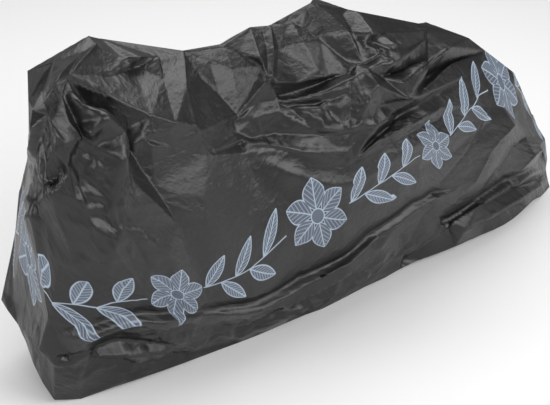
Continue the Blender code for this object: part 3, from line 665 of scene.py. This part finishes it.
def looseness(patches, along, down):
    """How loose the film is at each point of a grid, from 0 to 1, and its spare length as a share."""
    loose, spare = np.zeros((2, len(along), len(down)))
    for p in patches:
        strength = in_patch(p, along, down)
        loose = np.maximum(loose, strength)
        spare = np.maximum(spare, strength * p.slack)
    return loose, spare


def tied(columns, rows, shape):
    """Slices for the first and second points of every pair that is columns and rows apart."""
    last = shape[0] - columns
    if rows < 0:
        return (slice(0, last), slice(-rows, None)), (slice(columns, None), slice(0, shape[1] + rows))
    return (slice(0, last), slice(0, shape[1] - rows)), (slice(columns, None), slice(rows, None))


def relaxed(points, target, spare, hold, free, rounds, sag):
    """The film after rounds of pulling each pair of points to its length, with a sag each round."""
    pairs = []
    for tie in TIES:
        one, two = tied(tie.columns, tie.rows, free.shape)
        length = np.linalg.norm(target[two] - target[one], axis=2) * (1 + (spare[one] + spare[two]) / 2)
        pairs.append((one, two, length[..., None], tie.firmness))
    firmness = np.full(free.shape + (1,), 1e-9)
    for one, two, _, firm in pairs:
        firmness[one] += firm
        firmness[two] += firm
    for _ in range(rounds):
        move = np.zeros_like(points)
        for one, two, length, firm in pairs:
            gap = points[two] - points[one]
            distance = np.sqrt((gap**2).sum(axis=2, keepdims=True))
            pull = gap * (firm * (distance - length) / np.maximum(distance, 1e-9))
            move[one] += pull
            move[two] -= pull
        points = points + OVERSHOOT * free[..., None] * move / firmness
        points += hold[..., None] * (target - points)
        points[..., 2] -= sag * free * (1 - hold)
    return points


def folded_side(folds, along, down, near):
    """The smooth cover's one side with its soft folds, and its film's height at each column."""
    smooth = draped(along[::COARSE], down[::COARSE])[0 if near else 1]
    height = np.interp(along, along[::COARSE], height_of_side(smooth))
    lift = sum(fold_heights(fold, smooth, near) for fold in folds if fold.shape == "line")
    return refined(pressed(smooth, lift, near), COARSE), height


def facets(folded, creases, chance, along, down, near):
    """A folded side made of flat facets between the creases, with a top seam of straight pieces."""
    length = along[-1]
    places, heights, edges = net_of_creases(creases, chance, length)
    corners = sampled(folded, length, places)
    corners += heights[:, None] * sampled(outward(folded, near), length, places)
    flat = faceted([Vector(place) for place in places], corners, edges, along, down)
    panels = np.zeros(folded.shape[:2])
    if near:
        panels += sum(in_patch(panel, along, down) for panel in SMOOTH_PANELS)
    flatness = FLATNESS * (1 - SMOOTHER * panels)
    side = folded + flatness[..., None] * (flat - folded)
    side[[0, -1]] = folded[[0, -1]]
    corners_at = top_corners(length)
    for axis in range(3):
        seam = folded[:, 0, axis]
        side[:, 0, axis] = np.interp(along, corners_at, np.interp(corners_at, along, seam))
    return side


def film_side(near):
    """One side of the film: its fine grid of points, and where on the film they are."""
    folds, creases = (NEAR_FOLDS, NEAR_CREASES) if near else (FAR_FOLDS, FAR_CREASES)
    length = sides_of_the_cover()[2][-1]
    along, down = np.linspace(0, length, COLUMNS + 1), np.linspace(0, 1, ROWS + 1)
    folded, height = folded_side(folds, along, down, near)
    loose, spare = looseness(NEAR_PATCHES if near else FAR_PATCHES, along, down)
    chance = np.random.default_rng(CRUMPLE_SEED + near)
    target = facets(folded, creases, chance, along, down, near)
    small = sum(
        crumple_heights(crumple, chance, along, down) * (1 + crumple.looser * loose)
        for crumple in CRUMPLES
    )
    tucks = [fold for fold in folds if fold.shape == "step"]
    small += sum(tuck_heights(fold, along, down, height) for fold in tucks)
    small += sum(pinch_heights(crease, along, down, height) for crease in creases)
    target = pressed(target, small, near)
    target[..., 2] -= SADDLE_HEIGHT
    free = np.ones(target.shape[:2])
    free[[0, -1]] = 0
    free[:, 0] = 0
    moved = 0
    for number, level in enumerate(LEVELS):
        every = (slice(None, None, level.step),) * 2
        goal = target[every]
        if number:
            moved = halved(moved)
        reach = max(CREASE_REACH, 0.5 * level.step * length / COLUMNS)
        hold = crease_hold(
            creases, folds, along[every[0]], down[every[0]], height[every[0]], reach, loose[every]
        )
        uneven = chance.normal(0, UNEVENNESS * level.step, goal.shape[:2]) * free[every] * (1 - hold)
        start = goal + moved + uneven[..., None] * outward(goal, near)
        sag = SAG * level.step
        done = relaxed(start, goal, spare[every] * level.slack, hold, free[every], level.rounds, sag)
        moved = done - goal
    return target + moved, along, down, height


def print_places(along, down, height):
    """Metres along the print's line and out from it, upwards, for each point of a grid."""
    knots = np.array(PRINT_BAND)
    line = curve_through(knots[:, 0], knots, np.linspace(0, knots[-1, 0], PRINT_PIECES + 1))
    heights = np.interp((line[1:, 0] + line[:-1, 0]) / 2, along, height)
    lengths = np.append(0, np.cumsum(np.hypot(np.diff(line[:, 0]), np.diff(line[:, 1]) * heights)))
    gap, position = from_line(line, along, down, height)
    at = np.linspace(0, 1, PRINT_PIECES + 1)
    line_down = np.interp(position, at, line[:, 1])
    return np.interp(position, at, lengths), np.sign(line_down - down[None, :]) * gap


def added(name, data):
    """A new object of the scene."""
    thing = bpy.data.objects.new(name, data)
    bpy.context.collection.objects.link(thing)
    return thing


def film_object(name, near):
    """One side of the film as a mesh object, with its places on the film and in the print as UVs."""
    grid, along, down, height = film_side(near)
    index = np.arange(grid[..., 0].size).reshape(grid.shape[:2])
    corners = (index[:-1, :-1], index[:-1, 1:], index[1:, 1:], index[1:, :-1])
    faces = np.stack(corners, axis=-1).reshape(-1, 4)
    if not near:
        faces = faces[:, ::-1]
    mesh = bpy.data.meshes.new(name)
    mesh.from_pydata(grid.reshape(-1, 3), [], faces.tolist())
    mesh.shade_smooth()
    flat = np.meshgrid(along, down, indexing="ij")
    flat[1] = flat[1] * -height[:, None]
    for map_name, places in (("film", flat), ("print", print_places(along, down, height))):
        places = np.stack(places, axis=-1).reshape(-1, 2)[faces.ravel()]
        mesh.uv_layers.new(name=map_name).data.foreach_set("uv", places.ravel())
    return added(name, mesh)


class NodeValue:
    """A number in a node tree, from an output of one of its nodes. Arithmetic adds Math nodes."""

    def __init__(self, socket):
        self.socket = socket

    def math(self, operation, *others, clamp=False):
        """What a Math node makes of this number and others."""
        tree = self.socket.id_data
        node = tree.nodes.new("ShaderNodeMath")
        node.operation = operation
        node.use_clamp = clamp
        for entry, value in zip(node.inputs, (self, *others)):
            if isinstance(value, NodeValue):
                tree.links.new(value.socket, entry)
            else:
                entry.default_value = value
        return NodeValue(node.outputs[0])

    def __abs__(self):
        return self.math("ABSOLUTE")

    def __add__(self, other):
        return self.math("ADD", other)

    def __sub__(self, other):
        return self.math("SUBTRACT", other)

    def __rsub__(self, other):
        return self.math("MULTIPLY_ADD", -1, other)

    def __mul__(self, other):
        return self.math("MULTIPLY", other)

    def __truediv__(self, other):
        return self.math("DIVIDE", other)


def inked(distance):
    """Ink of a line where a distance is nought, and of a filling where it's below nought."""
    edge = (INK_LINE / 2 + INK_EDGE / 2) / INK_EDGE
    line = abs(distance).math("MULTIPLY_ADD", -1 / INK_EDGE, edge, clamp=True)
    return line, distance.math("LESS_THAN", 0)


def leaf(x, y, length, width, veins):
    """Ink of a pointed leaf whose stalk ends at the origin and whose tip is at x = length."""
    middle = x / (length / 2) - 1
    side = abs(y)
    line, fill = inked(side - (middle * middle).math("MULTIPLY_ADD", -width / 2, width / 2))
    within = abs(middle).math("LESS_THAN", 1)
    rib, _ = inked(side)
    phase = ((x - side * VEIN_SLANT) / veins).math("FRACT") - 0.5
    vein, _ = inked(phase * (veins * VEIN_SPREAD))
    inner = rib.math("MAXIMUM", vein * VEIN_INK) * fill
    return line.math("MAXIMUM", inner) * within, fill * within


def turned(x, y, degrees):
    """The places x, y seen from axes turned by some degrees."""
    c, s = math.cos(math.radians(degrees)), math.sin(math.radians(degrees))
    return x * c + y * s, y * c - x * s


def leafy_stem(u, v):
    """Ink of a wavy stem with a leaf on each side at every step, by turns."""
    off = v - (u * (2 * math.pi / STEM_LENGTH)).math("SINE") * STEM_WAVE
    line, _ = inked(off)
    upper = off.math("GREATER_THAN", 0)
    shifted = u + upper * (LEAF_STEP / 2)
    cell = (shifted / LEAF_STEP).math("FLOOR")
    x = shifted - (cell + LEAF_START) * LEAF_STEP
    leaf_x, leaf_y = turned(x, abs(off), LEAF_ANGLE)
    leaf_line, fill = leaf(leaf_x, leaf_y, LEAF_LENGTH, LEAF_WIDTH, LEAF_VEINS)
    # No leaf grows where it would meet a blossom.
    middle = (cell + 0.5 - upper * 0.5) * LEAF_STEP
    turn = (middle / BLOSSOM_STEP).math("FRACT")
    grows = abs(turn - 0.5).math("GREATER_THAN", 0.25)
    return line.math("MAXIMUM", leaf_line * grows), fill * grows


def blossoms(u, v):
    """Ink of open blossoms by turns above and below the stem, and where they cover it."""
    turn = u / BLOSSOM_STEP
    x = (turn.math("FRACT") - 0.5) * BLOSSOM_STEP
    other = turn.math("FLOOR").math("FLOORED_MODULO", 2)
    y = v - other.math("MULTIPLY_ADD", -2 * BLOSSOM_OFFSET, BLOSSOM_OFFSET)
    r = (x * x + y * y).math("SQRT")
    angle = y.math("ARCTAN2", x) + other * BLOSSOM_TURN
    petal = 2 * math.pi / PETALS
    around = ((angle * (1 / petal)).math("FRACT") - 0.5) * petal
    petal_x = r * around.math("COSINE") - BLOSSOM_RADIUS * PETAL_START
    petal_y = r * around.math("SINE")
    length = BLOSSOM_RADIUS * (1 - PETAL_START)
    line, fill = leaf(petal_x, petal_y, length, length * PETAL_WIDTH, PETAL_VEINS)
    heart_line, heart = inked(r - BLOSSOM_RADIUS * HEART)
    cover = r.math("LESS_THAN", BLOSSOM_RADIUS * CLEARING)
    line = (line * (1 - heart)).math("MAXIMUM", heart_line)
    return line, fill.math("MAXIMUM", heart), cover


def printed(u, v):
    """Ink of the whole print on its band, lines and fillings."""
    stem_line, stem_fill = leafy_stem(u, v)
    blossom_line, blossom_fill, cover = blossoms(u, v)
    bare = 1 - cover
    band = abs(v).math("LESS_THAN", PRINT_HALF_HEIGHT)
    line = blossom_line.math("MAXIMUM", stem_line * bare) * band
    return line, blossom_fill.math("MAXIMUM", stem_fill * bare) * band


def uv_places(tree, name):
    """The output of a node that reads one UV map."""
    node = tree.nodes.new("ShaderNodeUVMap")
    node.uv_map = name
    return node.outputs[0]


def noisy(tree, places, noise):
    """The value of a noise texture, which may be stretched along the film."""
    mapping = tree.nodes.new("ShaderNodeMapping")
    mapping.inputs["Scale"].default_value = (1 / noise.stretch, 1, 1)
    tree.links.new(places, mapping.inputs["Vector"])
    texture = tree.nodes.new("ShaderNodeTexNoise")
    texture.inputs["Scale"].default_value = noise.scale
    texture.inputs["Detail"].default_value = noise.detail
    tree.links.new(mapping.outputs[0], texture.inputs["Vector"])
    return NodeValue(texture.outputs[0])


def ridged(noise):
    """Sharp ridges where a noise passes its middle value."""
    return abs(noise.math("MULTIPLY_ADD", 4, -2)).math("MULTIPLY_ADD", -1, 1, clamp=True)


def mixed(tree, share, one, other):
    """A mix of one colour, or a colour output, with another colour."""
    mix = tree.nodes.new("ShaderNodeMix")
    mix.data_type = "RGBA"
    tree.links.new(share.socket, mix.inputs["Factor"])
    if isinstance(one, tuple):
        mix.inputs[6].default_value = one
    else:
        tree.links.new(one, mix.inputs[6])
    mix.inputs[7].default_value = other
    return mix.outputs[2]


def set_inputs(node, values):
    """Sets the unlinked inputs of a node by their names."""
    for name, value in values.items():
        node.inputs[name].default_value = value


def film_material(name):
    """Charcoal film with a soft gloss and fine crinkles, and a print in pale slate-blue ink."""
    material = bpy.data.materials.new(name)
    material.use_nodes = True
    tree = material.node_tree
    shader = tree.nodes["Principled BSDF"]

    split = tree.nodes.new("ShaderNodeSeparateXYZ")
    tree.links.new(uv_places(tree, "print"), split.inputs[0])
    line, fill = printed(NodeValue(split.outputs[0]), NodeValue(split.outputs[1]))
    places = uv_places(tree, "film")
    cloudy = noisy(tree, places, CLOUDS)
    ridges = ridged(noisy(tree, places, CRINKLES)) * CRINKLE_HEIGHT
    fine = ridged(noisy(tree, places, FINE_CRINKLES)) * FINE_CRINKLE_HEIGHT

    worn = noisy(tree, places, INK_WEAR).math("MULTIPLY_ADD", 1 - LEAST_INK, LEAST_INK)
    film = mixed(tree, cloudy, FILM_DARK, FILM_LIGHT)
    film = mixed(tree, fill * worn * FILL_INK, film, INK_FILL_COLOR)
    film = mixed(tree, line * LINE_INK, film, INK_LINE_COLOR)
    tree.links.new(film, shader.inputs["Base Color"])
    roughness = cloudy.math("MULTIPLY_ADD", CLOUD_ROUGHNESS, LEAST_ROUGHNESS)
    roughness += line.math("MAXIMUM", fill) * INK_ROUGHNESS
    tree.links.new(roughness.socket, shader.inputs["Roughness"])
    set_inputs(shader, {"IOR": 1.5, "Coat Weight": COAT_WEIGHT, "Coat Roughness": COAT_ROUGHNESS})
    bump = tree.nodes.new("ShaderNodeBump")
    set_inputs(bump, {"Strength": 1, "Distance": 1})
    tree.links.new((ridges + fine).socket, bump.inputs["Height"])
    tree.links.new(bump.outputs[0], shader.inputs["Normal"])
    return material


def area_light(name, place, target, size, power):
    """A rectangular softbox at a place, turned to its target."""
    light = bpy.data.lights.new(name, "AREA")
    light.energy = power
    light.shape = "RECTANGLE"
    light.size, light.size_y = size
    lamp = added(name, light)
    lamp.location = place
    lamp.rotation_euler = (Vector(target) - Vector(place)).to_track_quat("-Z", "Y").to_euler()


def studio():
    """A pale floor that reaches past the view, and soft light from all round."""
    mesh = bpy.data.meshes.new("floor")
    signs = ((-1, -1), (1, -1), (1, 1), (-1, 1))
    corners = [(FLOOR_REACH * x, FLOOR_REACH * y, FLOOR_Z) for x, y in signs]
    mesh.from_pydata(corners, [], [(0, 1, 2, 3)])
    floor = added("floor", mesh)
    material = bpy.data.materials.new("floor")
    material.use_nodes = True
    looks = {
        "Base Color": (FLOOR_GREY, FLOOR_GREY, FLOOR_GREY, 1),
        "Roughness": FLOOR_ROUGHNESS,
        "Emission Color": (1, 1, 1, 1),
        "Emission Strength": FLOOR_GLOW,
    }
    set_inputs(material.node_tree.nodes["Principled BSDF"], looks)
    mesh.materials.append(material)
    world = bpy.data.worlds.new("studio")
    world.use_nodes = True
    sky = world.node_tree.nodes["Background"]
    set_inputs(sky, {"Color": (1, 1, 1, 1), "Strength": WORLD_LIGHT})
    bpy.context.scene.world = world
    for light in LIGHTS:
        area_light(*light)
    bpy.context.scene.view_settings.view_transform = "Standard"


def photo_camera():
    """The camera, at the photo's viewpoint."""
    camera = bpy.data.cameras.new("camera")
    camera.lens = CAMERA_LENS
    camera.sensor_width = CAMERA_SENSOR
    view = added("camera", camera)
    view.location = CAMERA_PLACE
    azimuth, elevation = math.radians(CAMERA_AZIMUTH), math.radians(CAMERA_ELEVATION)
    level = math.cos(elevation)
    back = (math.sin(azimuth) * level, -math.cos(azimuth) * level, math.sin(elevation))
    view.rotation_euler = Vector(back).to_track_quat("Z", "Y").to_euler()
    bpy.context.scene.camera = view


photo_camera()
studio()
film = film_material("film_looks")
for name, near in (("film_near_side", True), ("film_far_side", False)):
    side = film_object(name, near)
    side.data.materials.append(film)
    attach(side, "root")
    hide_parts("cover_film")
